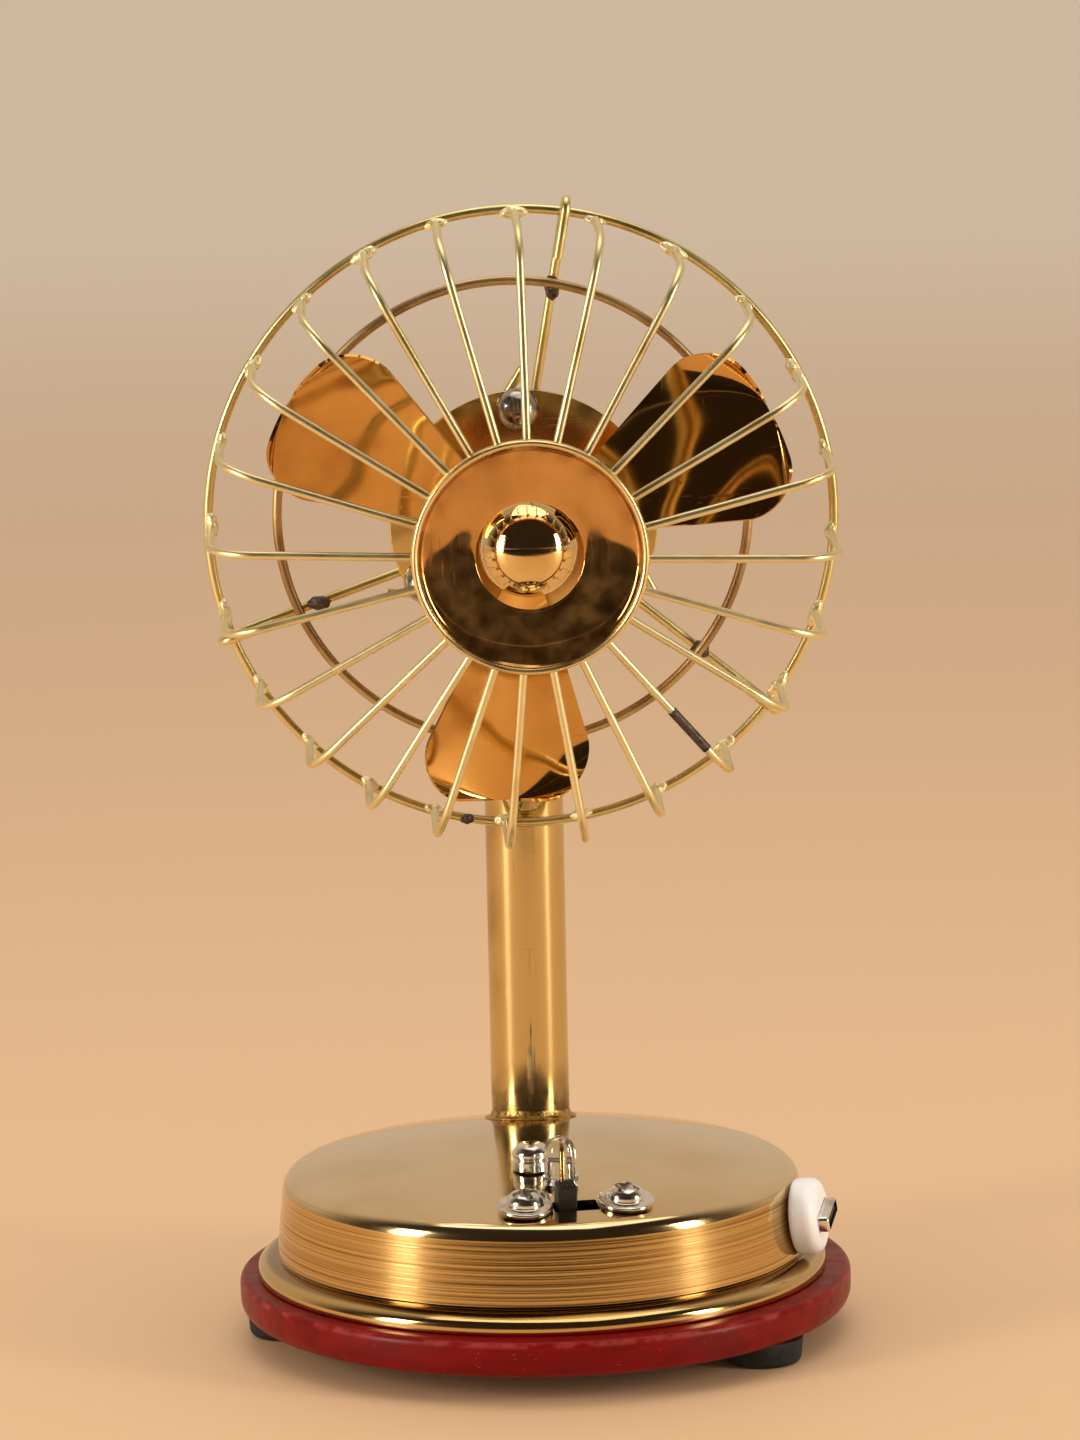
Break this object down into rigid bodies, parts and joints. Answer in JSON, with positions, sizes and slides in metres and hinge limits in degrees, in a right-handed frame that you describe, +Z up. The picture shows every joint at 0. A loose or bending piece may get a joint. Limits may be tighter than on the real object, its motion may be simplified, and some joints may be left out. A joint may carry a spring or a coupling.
{
  "type": "desk fan",
  "caption": "Small brass desk fan with a round wire guard, three pitched blades, a post, a drum with slide switch and indicator lamp, and a lacquered wooden foot.",
  "frame": {"origin": "on the ground at the middle of the fan's outline seen from above", "axes": "+Z up, the fan blows towards -Y, +X to the right seen from the front"},
  "size_m": [0.1036, 0.1002, 0.1851],
  "materials": {
    "brass": "polished, slightly tarnished",
    "brass_wire": "satin drawn wire, lacquered",
    "nickel": "bright nickel plate",
    "steel": "plain steel",
    "red_lacquer": "glossy dark red lacquer with worn edges",
    "rubber": "matt moulded rubber",
    "white_plastic": "milky moulded plastic",
    "black_plastic": "moulded black plastic",
    "clear_epoxy": "clear cast epoxy",
    "circuit_board": "green solder mask"
  },
  "bodies": {
    "root": {"wood_base": "red_lacquer", "rubber_foot_1": "rubber", "rubber_foot_2": "rubber", "rubber_foot_3": "rubber", "base_drum": "brass", "post_tube": "brass", "housing_plate": "brass", "motor_housing": "brass", "medallion": "brass", "guard_arm_1": "brass_wire", "guard_arm_2": "brass_wire", "guard_arm_3": "brass_wire", "rear_ring": "brass_wire", "outer_ring": "brass_wire", "guard_wire_01": "brass_wire", "guard_wire_02": "brass_wire", "guard_wire_03": "brass_wire", "guard_wire_04": "brass_wire", "guard_wire_05": "brass_wire", "guard_wire_06": "brass_wire", "guard_wire_07": "brass_wire", "guard_wire_08": "brass_wire", "guard_wire_09": "brass_wire", "guard_wire_10": "brass_wire", "guard_wire_11": "brass_wire", "guard_wire_12": "brass_wire", "guard_wire_13": "brass_wire", "guard_wire_14": "brass_wire", "guard_wire_15": "brass_wire", "guard_wire_16": "brass_wire", "guard_wire_17": "brass_wire", "guard_wire_18": "brass_wire", "guard_wire_19": "brass_wire", "guard_wire_20": "brass_wire", "guard_wire_21": "brass_wire", "guard_wire_22": "brass_wire", "guard_wire_23": "brass_wire", "guard_wire_24": "brass_wire", "switch_screw_left": "nickel", "switch_screw_right": "nickel", "drum_bolt": "nickel", "plate_screw_1": "nickel", "plate_screw_2": "nickel", "plate_screw_3": "nickel", "usb_socket": "nickel", "motor_can": "steel", "usb_cap": "white_plastic", "motor_end_cap": "white_plastic", "switch_body": "black_plastic", "motor_leads": "black_plastic", "led_lamp": "clear_epoxy", "usb_board": "circuit_board"},
    "rotor": {"motor_shaft": "steel", "armature": "steel", "propeller_hub": "brass", "spinner_cap": "brass", "blade_1": "brass", "blade_2": "brass", "blade_3": "brass"},
    "slider": {"switch_slider": "black_plastic"}
  },
  "joints": [
    {"name": "propeller_spin", "type": "hinge", "parent": "root", "child": "rotor", "pos_m": [0.00035, 0.011, 0.1318], "axis": [0.0348, -0.9956, -0.0872], "continuous": true},
    {"name": "switch_slide", "type": "slide", "parent": "root", "child": "slider", "axis": [0.9823, 0.1874, 0], "range_m": [0, 0.003]}
  ]
}
